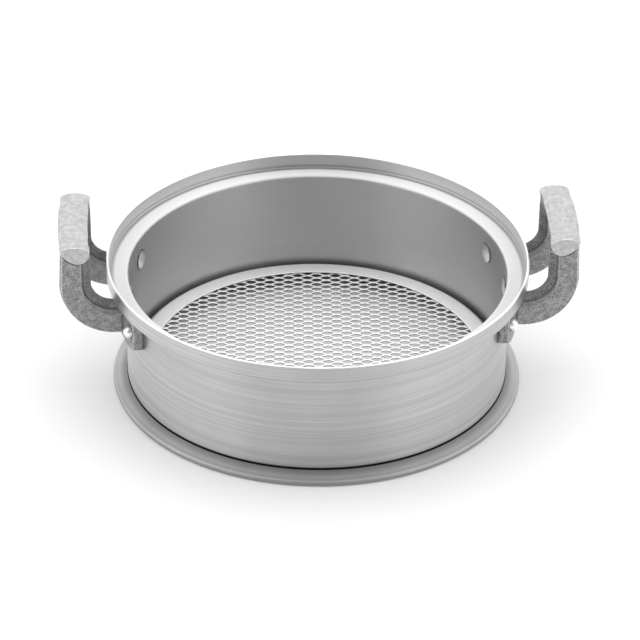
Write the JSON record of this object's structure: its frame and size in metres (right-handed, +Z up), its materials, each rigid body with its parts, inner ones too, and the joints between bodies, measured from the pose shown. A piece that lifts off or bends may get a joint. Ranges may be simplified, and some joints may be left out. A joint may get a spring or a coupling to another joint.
{
  "type": "steamer basket",
  "caption": "Round aluminium steamer tier: straight spun wall, stepped lip for a lid, flared foot that nests in the tier below, mesh floor and riveted cast side handles.",
  "frame": {"origin": "on the ground, at the axis of the round basket, under its foot", "axes": "+X runs from the axis to the right handle, +Z is up along the basket's axis, +Y points to the rear"},
  "size_m": [0.3696, 0.3022, 0.132],
  "materials": {
    "spun_aluminium": "spun sheet, satin with fine turning lines",
    "mesh_aluminium": "expanded sheet, bright and slightly rough",
    "cast_aluminium": "sand-cast grain, ground smooth on the grip's top and edges",
    "rivet_aluminium": "upset solid rivets, dull with small tool marks"
  },
  "bodies": {
    "root": {"body_shell": "spun_aluminium", "base_ring": "spun_aluminium", "mesh_disc": "mesh_aluminium", "handle_right": "cast_aluminium", "handle_left": "cast_aluminium", "rivet_right_front": "rivet_aluminium", "rivet_right_middle": "rivet_aluminium", "rivet_right_rear": "rivet_aluminium", "rivet_left_front": "rivet_aluminium", "rivet_left_middle": "rivet_aluminium", "rivet_left_rear": "rivet_aluminium"}
  },
  "joints": []
}
